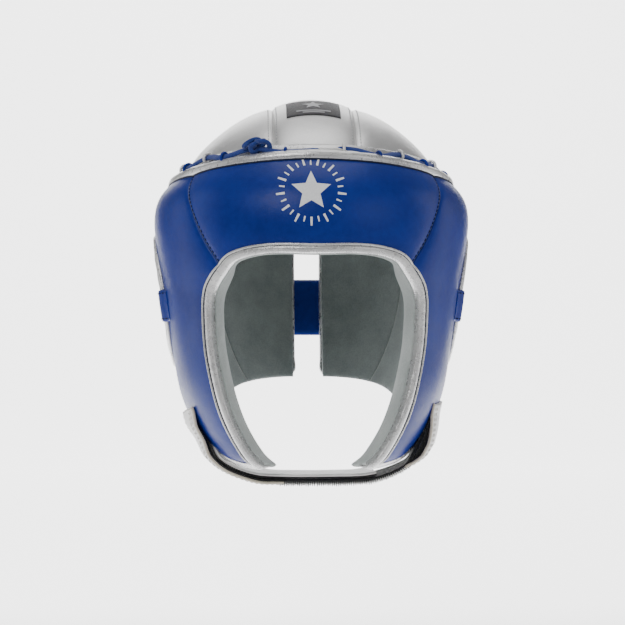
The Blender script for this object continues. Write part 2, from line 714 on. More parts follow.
def headband_curves(form):
    """The edges of the pads on one form, on the wearer's left, as angles and heights."""
    places = opening_places(form, EDGE)
    right = places[:, 0] > 0
    places = places[right]  # from the brow's middle down to the chin
    wide = np.arctan2(places[:, 0], -places[:, 1]) - seam_angle(places[:, 2])
    brow = int(np.argmax(wide > 0))
    low = places[:, 2] - hem_line(places[:, 1], EDGE)
    chin = int(np.argmax(low < 0))
    az = az_of(form, places)
    cheek = spaced_az(form, az[brow:chin + 1][::-1], NV_LOW + 1)
    half_brow = az[:brow + 1]
    corner = az[brow]
    # the seam, from the opening's corner up to the rim
    top_a = solve(lambda a: np.arctan2(form.point(a, rim_z(form, a, EDGE))[..., 0],
                                       -form.point(a, rim_z(form, a, EDGE))[..., 1])
                  - seam_angle(rim_z(form, a, EDGE)), np.array([0.3]), np.array([1.5]))[0]
    top_z = rim_z(form, np.array([top_a]), EDGE)[0]
    z = np.linspace(corner[1], top_z, 80)
    a = solve(lambda s: np.arctan2(form.point(s, z)[..., 0], -form.point(s, z)[..., 1])
              - seam_angle(z), np.full(80, 0.05), np.full(80, 1.55))
    a[0], a[-1] = corner[0], top_a
    seam = spaced_az(form, np.stack([a, z], 1), NV_SEAM + 1)
    # behind the ear
    zs = np.linspace(-100, 62 if form is outer else 55, 400)
    back = form.side(WING_Y, zs)
    p = form.point(back, zs)
    keep = (zs > hem_line(p[:, 1], EDGE)) & (cone_side(p, EDGE) > 0)
    lowest, highest = zs[keep][0], zs[keep][-1]
    zs = np.linspace(lowest, highest, 200)
    back = np.stack([form.side(WING_Y, zs), zs], 1)
    rim_a = np.linspace(top_a, back[-1, 0], 200)
    rim = np.stack([rim_a, rim_z(form, rim_a, EDGE)], 1)
    rim[0], rim[-1] = (top_a, top_z), back[-1]
    hem_a = np.linspace(cheek[0, 0], back[0, 0], 200)
    hem = np.stack([hem_a, hem_z(form, hem_a, EDGE)], 1)
    hem[0], hem[-1] = cheek[0], back[0]
    # the rear wing
    zs = np.linspace(-100, 62 if form is outer else 55, 400)
    split = math.pi - np.arcsin((WING_SPLIT + EDGE) / form.level(zs)[0])
    p = form.point(split, zs)
    keep = (zs > hem_line(p[:, 1], EDGE)) & (cone_side(p, EDGE) > 0)
    zs = np.linspace(zs[keep][0], zs[keep][-1], 200)
    split = np.stack([math.pi - np.arcsin((WING_SPLIT + EDGE) / form.level(zs)[0]), zs], 1)
    zs = np.linspace(lowest, highest, 200)
    start = np.stack([form.side(WING_Y + 0.3, zs), zs], 1)
    wing_a = np.linspace(start[-1, 0], split[-1, 0], 200)
    wing_rim = np.stack([wing_a, rim_z(form, wing_a, EDGE)], 1)
    wing_rim[0], wing_rim[-1] = start[-1], split[-1]
    wing_a = np.linspace(start[0, 0], split[0, 0], 200)
    wing_hem = np.stack([wing_a, hem_z(form, wing_a, EDGE)], 1)
    wing_hem[0], wing_hem[-1] = start[0], split[0]
    return dict(cheek=cheek, seam=seam, back=back, rim=rim, hem=hem, half_brow=half_brow,
                start=start, split=split, wing_rim=wing_rim, wing_hem=wing_hem, top_a=top_a)


CURVES = {form: headband_curves(form) for form in (outer, inner)}


def flipped(az):
    return az * np.array([-1, 1])


def forehead_grid(form):
    c = CURVES[form]
    half = c["half_brow"]
    bottom = np.concatenate([flipped(half)[::-1], half[1:]])
    bottom = spaced_az(form, bottom, NU_BROW + 1)
    a = np.linspace(-c["top_a"], c["top_a"], 300)
    top = spaced_az(form, np.stack([a, rim_z(form, a, EDGE)], 1), NU_BROW + 1)
    right = spaced_az(form, c["seam"], NV_BROW + 1)
    bottom[0], bottom[-1] = flipped(right)[0], right[0]
    top[0], top[-1] = flipped(right)[-1], right[-1]
    return coons(bottom, top, flipped(right), right)


def side_grid(form):
    c = CURVES[form]
    front = np.concatenate([c["cheek"], c["seam"][1:]])
    n = len(front)
    back = spaced_az(form, c["back"], n)
    bottom = spaced_az(form, c["hem"], NU_SIDE + 1)
    top = spaced_az(form, c["rim"], NU_SIDE + 1)
    bottom[0], bottom[-1], top[0], top[-1] = front[0], back[0], front[-1], back[-1]
    return coons(bottom, top, front, back)


def wing_grid(form):
    c = CURVES[form]
    front = spaced_az(form, c["start"], NV_WING + 1)
    back = spaced_az(form, c["split"], NV_WING + 1)
    bottom = spaced_az(form, c["wing_hem"], NU_WING + 1)
    top = spaced_az(form, c["wing_rim"], NU_WING + 1)
    bottom[0], bottom[-1], top[0], top[-1] = front[0], back[0], front[-1], back[-1]
    return coons(bottom, top, front, back)


def under_tape(p):
    """1 where the rear closure's tapes are sewn down flat, fading to 0 around them."""
    x, z = np.abs(p[..., 0]), p[..., 2]
    gap = np.maximum(np.maximum(x - 65, 17 - x), np.maximum(z + 6, -54 - z))
    t = np.clip(1 - gap / 7, 0, 1)
    return t * t * (3 - 2 * t)


def sewn(base, dips, width, pull_width):
    """How full a pad is at each place, how far its seams pull it in, and the nearest seam.
    dips: how deep the leather is pulled in at the left, right, bottom and top edge."""
    crown, pull = np.ones(base.shape[:2]), np.zeros(base.shape[:2])
    near = np.full(base.shape[:2], 99.0)
    for d, dip in zip(edge_distances(base), dips):
        if dip is not None:
            crown = crown * (1 - np.exp(-d / width))
            pull = pull + dip * np.exp(-d / pull_width)
            near = np.minimum(near, d)
    return crown, pull, near


def puffed(form, az, bulge, dips, seed, sign=1.0, flat=None):
    """The pad's surface: crowned in the middle, drawn in at its edges."""
    base = form.point(az[..., 0], az[..., 1])
    crown, pull, near = sewn(base, dips, 11.0, 1.7)
    lift = bulge * crown - pull
    lift = lift + 0.22 * ripple(base, 46.0, seed) * (1 - np.exp(-near / 9))
    # small puckers where the stitching gathers the leather
    pucker = ripple(base, 8.5, seed + 1)
    lift = lift + 0.10 * pucker * np.exp(-near / 5.0) * (1 - np.exp(-near / 1.2))
    if flat:
        lift = lift * (1 - 0.93 * flat(base))
    return form.on(az[..., 0], az[..., 1], sign * lift)


def mirrored(points):
    return (points * np.array([-1, 1, 1]))[:, ::-1]


def ear_cutter(sign, semi, name="ear_cutter"):
    t = np.linspace(0, 2 * math.pi, 72, endpoint=False)
    rings = []
    for x in (55, 130):
        rings.append(np.stack([np.full(72, sign * x), EAR_Y + semi[0] * np.cos(t),
                               EAR_Z + semi[1] * np.sin(t)], 1))
    return fix_normals(swept(name, np.array(rings), [INSIDE]))


def cut_out(obj, cutter):
    mod = obj.modifiers.new("hole", "BOOLEAN")
    mod.object, mod.operation, mod.solver = cutter, "DIFFERENCE", "EXACT"
    apply_all(obj)
    bpy.data.objects.remove(cutter)
    made.pop("ear_cutter", None)
    return obj


brow_top = puffed(outer, forehead_grid(outer), 2.4, (0.8, 0.8, 0.4, 0.4), 3)
brow_in = puffed(inner, forehead_grid(inner), 1.5, (0.8, 0.8, 0.6, 0.6), 4, -1.0)
forehead = fix_normals(closed_grid("forehead_pad", brow_top, brow_in, [BLUE, SUEDE], "headgear"))
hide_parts("forehead_shell", "forehead_foam", "forehead_lining")

side_top = puffed(outer, side_grid(outer), 1.9, (0.6, 1.2, 0.4, 0.4), 5)
side_in = puffed(inner, side_grid(inner), 1.6, (0.8, 0.8, 0.6, 0.6), 6, -1.0)
wing_top = puffed(outer, wing_grid(outer), 2.4, (1.4, 0.6, 0.6, 0.5), 7, flat=under_tape)
wing_in = puffed(inner, wing_grid(inner), 1.6, (0.8, 0.6, 0.6, 0.6), 8, -1.0)
pads = {"forehead": forehead}
for side, sign in SIDES:
    turn = (lambda p: p) if sign > 0 else mirrored
    pad = closed_grid(f"{side}_side_pad", turn(side_top), turn(side_in), [BLUE, INSIDE],
                      "headgear")
    cut_out(fix_normals(pad), ear_cutter(sign, (23.5, 31.0)))
    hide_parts(f"{side}_side_shell", f"{side}_side_foam", f"{side}_side_lining")
    pads[side] = pad
    body = f"rear_wing_{side}"
    wing = fix_normals(closed_grid(f"{body}_pad", turn(wing_top), turn(wing_in),
                                   [CROWN, INSIDE], body))
    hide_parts(f"{body}_shell", f"{body}_foam", f"{body}_lining")
    pads[body] = wing

trees = {name: tree_of(obj) for name, obj in pads.items()}
headband_tree = tree_of(*[pads[k] for k in ("forehead", "left", "right")])

# =====================================================================================
# Bindings
# =====================================================================================


def edge_frames(edge_out, edge_in, inward):
    """At each place of a pad's edge: along it, into the pad, through the pad, and outwards."""
    along = unit(np.gradient(edge_out, axis=0))
    normal = outer.normal(outer.angle(edge_out), edge_out[:, 2])
    into = unit(np.cross(normal, along))
    flip = np.sign(np.sum(into * inward, 1))[:, None]
    into = into * flip
    through = edge_in - edge_out
    depth = np.linalg.norm(through, axis=1)
    through = unit(through - along * np.sum(through * along, 1)[:, None])
    facing = np.cross(along, through)
    facing = unit(facing * -np.sign(np.sum(facing * into, 1))[:, None])
    return dict(p=edge_out, q=edge_in, into=into, through=through, normal=normal,
                facing=facing, depth=depth)


def smooth_frames(f, width=5):
    kernel = np.ones(width) / width
    for key in ("into", "through", "normal", "facing"):
        padded = np.pad(f[key], ((width // 2, width // 2), (0, 0)), "edge")
        f[key] = unit(np.stack([np.convolve(column, kernel, "valid")
                                for column in padded.T], 1))
    return f


def turn_over(f, flip):
    """Mirrors the frames of an edge."""
    for key in ("p", "q", "into", "through", "normal", "facing"):
        f[key] = f[key] * flip


def rounded_ends(sections, centers, length, least=0.15):
    """Draws the first and last sections in, so that a long piece ends rounded."""
    d = lengths(centers)
    d = np.minimum(d, d[-1] - d) / length
    size = np.maximum(np.sqrt(1 - (1 - np.clip(d, 0, 1)) ** 2), least)
    return centers[:, None] + (sections - centers[:, None]) * size[:, None, None]


def carried(outline, f, reach=None, swell=None):
    """The outline at every place of an edge, stretched by reach and swell."""
    across = outline[None, :, 0:1] * (1.0 if reach is None else reach[:, None, None])
    rise = outline[None, :, 2:3] * (1.0 if swell is None else swell[:, None, None])
    return (f["p"][:, None] + across * f["into"][:, None]
            + outline[None, :, 1:2] * f["through"][:, None] + rise * f["normal"][:, None]
            + outline[None, :, 3:4] * f["facing"][:, None])


def bead(name, f, profile, mats, body, seed=1, uneven=0.12, taper=0.0, reach=None,
         swell=None):
    """A rolled edge: a closed outline (into the pad, through it, off it, off its edge)
    carried along the edge."""
    outline = catmull(profile, 3, closed=True)
    sections = carried(outline, f, reach, swell)
    # the lip follows the curve of the pad
    drift = outline[None, :, 0] ** 2 / 230.0
    sections = sections - drift[..., None] * f["normal"][:, None]
    push = f["normal"] + f["facing"]
    wave = ripple(sections, 17.0, seed) * uneven
    sections = sections + wave[..., None] * unit(push)[:, None]
    if taper:
        sections = rounded_ends(sections, f["p"] + f["into"] * 1.5 + f["through"] * 1.5, taper)
    return fix_normals(swept(name, sections, mats, body))


FACE_BEAD = [
    (5.0, 0, 0.1, 0), (4.9, 0, 1.0, 0), (4.2, 0, 1.75, 0), (2.8, 0, 2.15, 0), (1.2, 0, 2.05, 0.2),
    (0.1, 0, 1.5, 1.0), (0, 1.4, 0.6, 1.6), (0, 3.0, 0, 1.8), (0, 4.6, 0, 1.4),
    (0, 5.2, 0, 0.6), (0, 5.2, 0, -0.8), (1.2, 3.5, 0, 0), (2.6, 1.6, 0, 0), (4.2, 0.6, 0, 0),
]
RIM_BEAD = [
    (6.6, 0, 0.0, 0), (6.5, 0, 1.2, 0), (5.6, 0, 2.4, 0), (3.6, 0, 3.1, 0), (1.5, 0, 2.8, 0.2),
    (0.1, 0, 1.9, 1.1), (0, 1.5, 0.6, 1.4), (0, 3.4, 0, 1.3), (0, 5.0, 0, 0.6),
    (1.0, 5.0, 0, 0), (2.2, 3.4, 0, 0), (3.8, 1.6, 0, 0), (5.8, 0.6, 0, 0),
]
HEM_BEAD = [
    (5.2, 0, 0.1, 0), (5.0, 0, 1.0, 0), (3.8, 0, 1.5, 0), (1.8, 0, 1.6, 0.2),
    (0.2, 0, 1.1, 1.0), (0, 1.5, 0.4, 1.5), (0, 4.5, 0, 1.5), (0, 8.0, 0, 1.0),
    (0, 8.4, 0, -0.5), (1.6, 4.5, 0, 0), (3.4, 1.8, 0, 0),
]

# ---- face ---------------------------------------------------------------------------
face_out = opening_places(outer, EDGE)
face_in = opening_places(inner, EDGE)
above = (face_out[:, 2] > hem_line(face_out[:, 1], EDGE - 1.2))
face_out, face_in = face_out[above], face_in[above]
both = spaced(np.concatenate([face_out, face_in], 1), 340)
face_out, face_in = both[:, :3], both[:, 3:]
center = np.array([0, -95.0, -55.0])
face = smooth_frames(edge_frames(face_out, face_in, face_out - center))
face_reach = 1 - 0.42 * np.clip(face["into"][:, 2], 0, 1) ** 2
face_roll = bead("face_binding_roll", face, FACE_BEAD, [SILVER], "headgear", seed=21,
                 uneven=0.2, taper=2.5, reach=face_reach)
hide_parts("face_binding")

# suede that turns round the pad's edge to the lining
turn_line = []
for t in np.linspace(0, 1, 12):
    depth = face["depth"] * t
    crest = 1.2 + 1.4 * math.sin(math.pi * t) - 0.4 * t
    turn_line.append(face_out + (face_in - face_out) * t + face["facing"] * crest)
wall = np.array(turn_line)[2:]
inner_into = unit(inner.near(face_in + face["into"] * 8, 0.0) - face_in)
lip = [face_in + inner_into * w + face["through"] * h for w, h in
       ((0.3, 1.2), (2.2, 2.0), (5.0, 2.0), (7.5, 1.4), (8.5, 0.4), (7.0, -0.8), (2.0, -1.2))]
back_line = [face_out + (face_in - face_out) * t - face["facing"] * 1.2 for t in (0.7, 0.4, 0.2)]
sections = np.concatenate([wall, np.array(lip), np.array(back_line)]).transpose(1, 0, 2)
sections = rounded_ends(sections, (face_out + face_in) / 2, 14.0)
cheek_suede = fix_normals(swept("face_edge_suede", sections, [SUEDE], "headgear"))

# a thin dark welt and a bright piping beside the roll
for name, across, lift, radius, mat, slot in (
    ("face_piping_cord", 6.5, 0.5, 0.85, SILVER, "silver_leather"),
    ("face_welt", 5.5, 0.2, 0.6, GROOVE, "hook_loop"),
):
    line = outer.near(face_out + face["into"] * (across * face_reach)[:, None], 0.0)
    n = outer.normal(outer.angle(line), line[:, 2])
    line, n = drop(headband_tree, line, n, lift, 8.0)
    line = spaced(line, 420)
    obj = tube(name, line, radius, [mat], "headgear", around=12)
    made[name] = obj
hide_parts("face_piping")


# ---- rim and hem --------------------------------------------------------------------
def edge_pair(kind, low, high, count):
    """Matching edge lines on the outside and the inside, between two angles."""
    a = np.linspace(low, high, count)
    solve_z = rim_z if kind == "rim" else hem_z
    out = outer.point(a, solve_z(outer, a, EDGE))
    inn = inner.point(a, solve_z(inner, a, EDGE))
    both = spaced(np.concatenate([out, inn], 1), count)
    return both[:, :3], both[:, 3:]


wing_start = CURVES[outer]["rim"][-1, 0]
rim_out, rim_in = edge_pair("rim", -wing_start, wing_start, 300)
down = np.array([0, 0, -1.0])
rim_f = smooth_frames(edge_frames(rim_out, rim_in, down))
# fuller over the brow
rim_swell = 1.1 + 0.5 * np.exp(-(rim_out[:, 0] / 45) ** 2) * (rim_out[:, 1] < 0)
rim_roll = bead("rim_binding_roll", rim_f, RIM_BEAD, [SILVER], "headgear", seed=31, uneven=0.2,
                swell=rim_swell)
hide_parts("rim_binding")
welt = outer.near(rim_out + rim_f["into"] * 7.1, 0.0)
welt, _ = drop(headband_tree, welt, outer.normal(outer.angle(welt), welt[:, 2]), 0.15, 8.0)
rim_welt = tube("rim_welt", welt, 0.75, [GROOVE], "headgear", around=10)

hem_low = CURVES[outer]["cheek"][0, 0] + 0.05
hem_high = CURVES[outer]["back"][0, 0]
for side, sign in SIDES:
    out, inn = edge_pair("hem", hem_low, hem_high, 130)
    flip = np.array([sign, 1, 1])
    f = smooth_frames(edge_frames(out, inn, np.array([0, 0, 1.0])))
    turn_over(f, flip)
    roll = bead(f"{side}_hem_roll", f, HEM_BEAD, [SILVER], "headgear", seed=41)
    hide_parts(f"{side}_hem_binding")
    # rear wing: one roll along the rim, down the split and along the hem
    c_out, c_in = CURVES[outer], CURVES[inner]
    parts = []
    for c, form in ((c_out, outer), (c_in, inner)):
        top = form.point(*spaced_az(form, c["wing_rim"], 70).T)
        gap = form.point(*spaced_az(form, c["split"], 70).T)[::-1]
        low = form.point(*spaced_az(form, c["wing_hem"], 70).T)[::-1]
        parts.append(np.concatenate([top[:-1], gap[:-1], low]))
    both = np.concatenate(parts, 1)
    for _ in range(3):  # rounds the two corners
        both[1:-1] = (both[:-2] + 2 * both[1:-1] + both[2:]) / 4
    out, inn = both[:, :3], both[:, 3:]
    middle = outer.point(np.array([2.6]), np.array([-15.0]))[0]
    f = smooth_frames(edge_frames(out, inn, middle - out), 7)
    turn_over(f, flip)
    roll = bead(f"rear_wing_{side}_roll", f, HEM_BEAD, [SILVER], f"rear_wing_{side}", seed=51)
    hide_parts(f"rear_wing_{side}_binding")

# ---- leather that flexes between the side pads and the wings ---------------------------
for side, sign in SIDES:
    zs = np.linspace(CURVES[outer]["back"][0, 1] + 2.5, CURVES[outer]["back"][-1, 1] - 3.0, 50)
    ys = np.linspace(WING_Y - 5, WING_Y + 5.3, 15)
    rings = []
    for z in zs:
        zo = np.full(15, z)
        top_line = outer.on(outer.side(ys, zo), zo, np.full(15, -1.9))
        z_in = np.interp(z, CURVES[outer]["back"][[0, -1], 1], CURVES[inner]["back"][[0, -1], 1])
        zi = np.full(15, z_in)
        low_line = inner.on(inner.side(ys, zi), zi, np.full(15, 1.6))
        rings.append(np.concatenate([top_line, low_line[::-1]]))
    rings = np.array(rings) * np.array([sign, 1, 1])
    gusset = fix_normals(swept(f"{side}_wing_gusset", rings, [INSIDE]))
    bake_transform(gusset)

# =====================================================================================
# Seams and stitching
# =====================================================================================


def seam_stitches(name, az, offset, mat, pads_tree, body, flip=1, **shape):
    p = outer.point(az[:, 0], az[:, 1])
    n = outer.normal(az[:, 0], az[:, 1])
    along = unit(np.gradient(p, axis=0))
    side = np.cross(n, along)
    line = outer.near(p + side * offset, 0.0)
    n = outer.normal(outer.angle(line), line[:, 2])
    line, n = line * np.array([flip, 1, 1]), n * np.array([flip, 1, 1])
    sew(name, pads_tree, line, n, mat, body,
        "blue_leather" if mat is THREAD else "silver_leather", **shape)


seam_az = spaced_az(outer, CURVES[outer]["seam"], 120)[4:-5]
back_az = spaced_az(outer, CURVES[outer]["back"], 160)[9:-11]
for side, flip in SIDES:
    seam_stitches(f"{side}_brow_seam_stitches", seam_az, 1.5, THREAD, headband_tree,
                  "headgear", flip, pitch=3.2, length=2.4)
    seam_stitches(f"{side}_back_seam_stitches", back_az, 2.6, THREAD, headband_tree,
                  "headgear", flip, pitch=3.6, length=2.5)
    wing_az = spaced_az(outer, CURVES[outer]["start"], 160)[9:-11]
    seam_stitches(f"{side}_wing_seam_stitches", wing_az, -2.8, GREY_THREAD,
                  trees[f"rear_wing_{side}"], f"rear_wing_{side}", flip, pitch=3.6, length=2.5)

# =====================================================================================
# Ears
# =====================================================================================
EAR_PROFILE = [  # how far from hole (0) to the ring's edge (1), which form, lift
    (1.02, 0, -0.6), (1.0, 0, 0.9), (0.93, 0, 2.6), (0.75, 0, 4.2), (0.5, 0, 4.7), (0.25, 0, 4.3),
    (0.05, 0, 2.8), (-0.02, 0, 0.6), (0.0, 0, -5.0), (0.02, 1, 5.0), (0.0, 1, 0.4),
    (0.1, 1, -1.2), (0.35, 1, -1.5), (0.55, 1, -1.0), (0.6, 1, 0.8),
    (0.3, 1, 2.2), (0.3, 0, -4.0), (0.6, 0, -1.2),
]
theta = np.linspace(0, 2 * math.pi, 120, endpoint=False)


def ear_ring(share, form, lift):
    ry = EAR_HOLE[0] + share * (EAR_RING[0] - EAR_HOLE[0])
    rz = EAR_HOLE[1] + share * (EAR_RING[1] - EAR_HOLE[1])
    y, z = EAR_Y + ry * np.cos(theta), EAR_Z + rz * np.sin(theta)
    return form.on(form.side(y, z), z, np.full(len(theta), lift))


def between(profile, per):
    shares = catmull([(p[0] * 10, p[2], 0) for p in profile], per, closed=True)
    forms = []
    n = len(profile)
    for i in range(n):
        a, b = profile[i][1], profile[(i + 1) % n][1]
        forms += [a + (b - a) * k / per for k in range(per)]
    return [(s[0] / 10, f, s[1]) for s, f in zip(shares, forms)]


def beside(sign, y, z, lift=0.0):
    """A line on the side of the headgear, and its normals."""
    flip, a = np.array([sign, 1, 1]), outer.side(y, z)
    return outer.on(a, z, np.full(len(y), lift)) * flip, outer.normal(a, z) * flip


def ear_line(sign, beyond):
    """An oval round the ear, that much beyond the hole in both half widths."""
    return beside(sign, EAR_Y + (EAR_HOLE[0] + beyond[0]) * np.cos(theta),
                  EAR_Z + (EAR_HOLE[1] + beyond[1]) * np.sin(theta))


ear_sections = np.array([  # (profile, theta, 3)
    ear_ring(share, outer, lift) * (1 - which) + ear_ring(share, inner, lift) * which
    for share, which, lift in between(EAR_PROFILE, 3)])
n_profile = len(ear_sections)
kinds = []
for i in range(n_profile):
    kinds += [1 if 7.4 < i / 3 < 15.5 else 0] * len(theta)
for side, sign in SIDES:
    pts = ear_sections * np.array([sign, 1, 1])
    pts = pts + (ripple(pts, 15.0, 61) * 0.18)[..., None] * np.array([sign, 0, 0])
    faces = grid_faces(n_profile, len(theta), wrap_u=True, wrap_v=True)
    ring = fix_normals(new_mesh(f"{side}_ear_ring", pts.reshape(-1, 3), faces,
                                [CROWN, INSIDE], kinds, body="headgear"))
    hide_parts(f"{side}_ear_shell", f"{side}_ear_foam", f"{side}_ear_lining")
    width = np.subtract(EAR_RING, EAR_HOLE)
    line, n = drop(trees[side], *ear_line(sign, width + 1.1), 0.7)
    piping = tube(f"{side}_ear_piping_cord", line, 1.25, [SILVER], "headgear", closed=True)
    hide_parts(f"{side}_ear_piping")
    # stitches just inside the ring's edge
    line, n = drop(tree_of(ring), *ear_line(sign, width * 0.9))
    thread = stitches(f"{side}_ear_stitches", np.concatenate([line, line[:1]]),
                      np.concatenate([n, n[:1]]), GREY_THREAD, "headgear", 3.2, 2.2)

    # the blue band across the ear
    ys = np.linspace(BAND_Y[0] - 1, BAND_Y[1], 90)
    rise = np.clip((ys - (BAND_Y[0] + 3)) / 7, 0, 1) * np.clip((BAND_Y[1] - 2 - ys) / 5, 0, 1)
    rise = rise * rise * (3 - 2 * rise)
    under = 0.5 + 3.6 * rise
    middle_z, half = sum(BAND_Z) / 2, (BAND_Z[1] - BAND_Z[0]) / 2
    outline = [(-1, 0.0), (-1.0, 1.1), (-0.95, 1.75), (-0.8, 1.95), (-0.4, 2.1), (0, 2.15),
               (0.4, 2.1), (0.8, 1.95), (0.95, 1.75), (1.0, 1.1), (1, 0.0), (0.5, -0.1),
               (-0.5, -0.1)]
    outline = catmull([(a, b, 0) for a, b in outline], 3, closed=True)
    sections = []
    for y, u in zip(ys, under):
        end = min(1.0, 0.94 + 0.06 * min((y - ys[0]) / 2, (ys[-1] - y) / 2, 1))
        z = middle_z + outline[:, 0] * half * end
        yy = np.full(len(z), y)
        sections.append(outer.on(outer.side(yy, z), z, u + outline[:, 1]))
    sections = np.array(sections) * np.array([sign, 1, 1])
    band = fix_normals(swept(f"{side}_ear_strap", sections, [BLUE], "headgear"))
    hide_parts(f"{side}_ear_band")
    band_tree = tree_of(band)
    for edge, z in (("upper", BAND_Z[1] - 2.0), ("lower", BAND_Z[0] + 2.0)):
        yy = np.linspace(BAND_Y[0] + 1, BAND_Y[1] - 1.5, 90)
        sew(f"{side}_ear_strap_{edge}_stitches", band_tree,
            *beside(sign, yy, np.full(90, z), 2.0), THREAD, "headgear", "blue_leather", 3.4, 2.4)

# =====================================================================================
# Crown
# =====================================================================================


def dome_z(shape, x, y):
    a, b, base, rise, power = shape
    fill = np.clip(np.hypot(x / a, y / b), 0, 0.99999) ** power
    return base + rise * (1 - fill) ** (1 / power)


def dome_point(shape, x, y, lift=0.0):
    def at(x, y):
        return np.stack([x, y, dome_z(shape, x, y)], -1)
    p = at(x, y)
    n = unit(np.cross(at(x + 0.1, y) - at(x - 0.1, y), at(x, y + 0.1) - at(x, y - 0.1)))
    return p + n * np.asarray(lift)[..., None], n


def crown_edge(shape, turn, by):
    """Where a dome meets the crown's cone, seen from above at these angles."""
    x, y = np.sin(turn), -np.cos(turn)

    def gap(r):
        xx, yy = x * r, y * r
        return cone_side(np.stack([xx, yy, dome_z(shape, xx, yy)], -1), by)

    limit = 0.985 / np.hypot(x / shape[0], y / shape[1])
    return solve(gap, 0 * turn + 20, limit)


def crown_border(shape, by, n=721):
    turn = np.linspace(-math.pi, math.pi, n)
    r = crown_edge(shape, turn, by)
    return np.stack([np.sin(turn) * r, -np.cos(turn) * r], 1)


CROWN_BY = -(CROWN_GAP + EDGE)
borders = {shape: crown_border(shape, CROWN_BY) for shape in (CROWN_OUT, CROWN_IN)}
NC_U, NC_V = 44, 96


def strip_grid(shape):
    border = borders[shape]
    half = STRIP * (1.0 if shape is CROWN_OUT else 0.86)
    front = border[(np.abs(border[:, 0]) < half) & (border[:, 1] < 0)]
    rear = border[(np.abs(border[:, 0]) < half) & (border[:, 1] > 0)]
    xs = np.linspace(-half, half, NC_U + 1)
    bottom = np.stack([xs, np.interp(xs, front[np.argsort(front[:, 0])][:, 0],
                                     front[np.argsort(front[:, 0])][:, 1])], 1)
    top = np.stack([xs, np.interp(xs, rear[np.argsort(rear[:, 0])][:, 0],
                                  rear[np.argsort(rear[:, 0])][:, 1])], 1)
    v = np.linspace(0, 1, NC_V + 1)[:, None, None]
    return (1 - v) * bottom[None] + v * top[None]


def cap_grid(shape):
    """The side panel: from the strip's seam out to the border, on the wearer's left."""
    border = borders[shape]
    half = STRIP * (1.0 if shape is CROWN_OUT else 0.86)
    right = border[border[:, 0] > half]
    front, rear = right[0], right[-1]
    seam = np.stack([np.full(NC_V + 1, half), np.linspace(front[1], rear[1], NC_V + 1)], 1)
    edge = spaced(np.concatenate([right, np.zeros((len(right), 1))], 1), NC_V + 1)[:, :2]
    u = np.linspace(0, 1, NC_U + 1)[None, :, None]
    return (1 - u) * seam[:, None] + u * edge[:, None]


def crown_pad(outer_xy, inner_xy, dips, seed, bulge):
    base, _ = dome_point(CROWN_OUT, outer_xy[..., 0], outer_xy[..., 1])
    crown, pull, near = sewn(base, dips, 10.0, 1.8)
    lift = bulge * crown - pull + 0.2 * ripple(base, 50, seed) * (1 - np.exp(-near / 9))
    lift = lift + 0.12 * ripple(base, 8, seed + 1) * np.exp(-near / 5) * (1 - np.exp(-near / 1.2))
    top, _ = dome_point(CROWN_OUT, outer_xy[..., 0], outer_xy[..., 1], lift)
    low, _ = dome_point(CROWN_IN, inner_xy[..., 0], inner_xy[..., 1], -1.2 * crown)
    return top, low


strip_out, strip_in = crown_pad(strip_grid(CROWN_OUT), strip_grid(CROWN_IN),
                                (1.3, 1.3, 0.5, 0.5), 71, 1.6)
middle_pad = fix_normals(closed_grid("crown_middle_pad", strip_out, strip_in, [CROWN, INSIDE],
                                     "headgear"))
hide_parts("crown_middle_shell", "crown_foam", "crown_lining")
cap_out, cap_in = crown_pad(cap_grid(CROWN_OUT), cap_grid(CROWN_IN),
                            (1.3, 0.5, None, None), 73, 2.0)
crown_pads = {"middle": middle_pad}
for side, sign in SIDES:
    turn = (lambda p: p) if sign > 0 else mirrored
    pad = fix_normals(closed_grid(f"crown_{side}_pad", turn(cap_out), turn(cap_in),
                                  [CROWN, INSIDE], "headgear"))
    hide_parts(f"crown_{side}_shell")
    crown_pads[side] = pad
crown_tree = tree_of(*crown_pads.values())

# ---- the roll round the crown's edge ---------------------------------------------------
turn = np.linspace(-math.pi, math.pi, 361)[:-1]
edges = []
for shape in (CROWN_OUT, CROWN_IN):
    r = crown_edge(shape, turn, CROWN_BY)
    x, y = np.sin(turn) * r, -np.cos(turn) * r
    edges.append(np.stack([x, y, dome_z(shape, x, y)], 1))
crown_out_edge, crown_in_edge = edges
along = unit(np.roll(crown_out_edge, -1, 0) - np.roll(crown_out_edge, 1, 0))
_, normal = dome_point(CROWN_OUT, crown_out_edge[:, 0], crown_out_edge[:, 1])
into = np.cross(normal, along)
into = unit(into * np.sign(-np.sum(into * crown_out_edge * np.array([1, 1, 0]), 1))[:, None])
through = unit(crown_in_edge - crown_out_edge)
facing = np.cross(along, through)
facing = unit(facing * -np.sign(np.sum(facing * into, 1))[:, None])
outline = catmull([
    (6.4, 0, 0.0, 0), (6.2, 0, 1.0, 0), (4.8, 0, 1.8, 0), (2.4, 0, 2.1, 0), (0.4, 0, 1.5, 0.8),
    (0, 1.4, 0.5, 1.3), (0, 3.2, 0, 1.3), (0, 5.0, 0, 0.6), (1.0, 5.0, 0, 0),
    (2.6, 3.0, 0, 0), (5.0, 1.0, 0, 0)], 3, closed=True)
sections = carried(outline, dict(p=crown_out_edge, into=into, through=through, normal=normal,
                                 facing=facing))
sections = sections + (ripple(sections, 14.0, 81) * 0.14)[..., None] * normal[:, None]
crown_roll = fix_normals(swept("crown_binding_roll", sections, [SILVER], "headgear",
                               closed=True))
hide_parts("crown_binding")

# ---- crown stitching -------------------------------------------------------------------
for side, sign in SIDES:
    for where, x in (("inner", STRIP - 2.6), ("outer", STRIP + 2.6)):
        ys = np.linspace(-84, 84, 200)
        line, n = dome_point(CROWN_OUT, np.full(200, sign * x), ys)
        sew(f"crown_{side}_{where}_stitches", crown_tree, line, n, GREY_THREAD, "headgear",
            "silver_leather", 3.6, 2.5)

